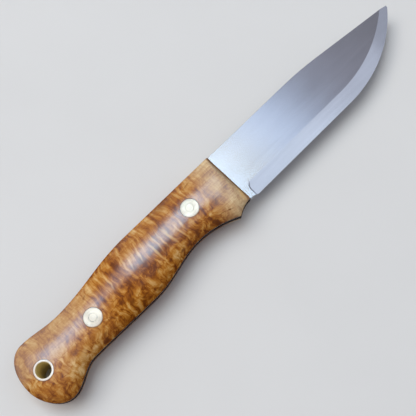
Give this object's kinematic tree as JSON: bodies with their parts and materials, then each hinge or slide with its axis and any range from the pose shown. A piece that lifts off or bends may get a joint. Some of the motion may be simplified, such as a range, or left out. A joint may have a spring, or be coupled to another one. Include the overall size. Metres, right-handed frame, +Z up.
{
  "type": "whittling knife",
  "caption": "Fixed-blade whittling knife: full-tang drop-point blade with a single wide bevel, contoured burl-wood scales, flush handle bolts and a lanyard tube at the butt.",
  "frame": {"origin": "middle of the bottom of the part's box, with the knife lying on its left scale", "axes": "+X from the butt to the tip, +Y from the cutting edge to the spine, +Z up, out of the right scale"},
  "size_m": [0.231, 0.0334, 0.0208],
  "materials": {
    "blade_steel": "satin",
    "handle_wood": "oiled and polished burl",
    "bolt_metal": "ground flush and satin polished",
    "tube_metal": "ground flush and satin polished"
  },
  "bodies": {
    "root": {"blade": "blade_steel", "right_scale": "handle_wood", "left_scale": "handle_wood", "front_bolt_stud": "bolt_metal", "front_bolt_right_nut": "bolt_metal", "front_bolt_left_nut": "bolt_metal", "rear_bolt_stud": "bolt_metal", "rear_bolt_right_nut": "bolt_metal", "rear_bolt_left_nut": "bolt_metal", "lanyard_tube": "tube_metal"}
  },
  "joints": []
}
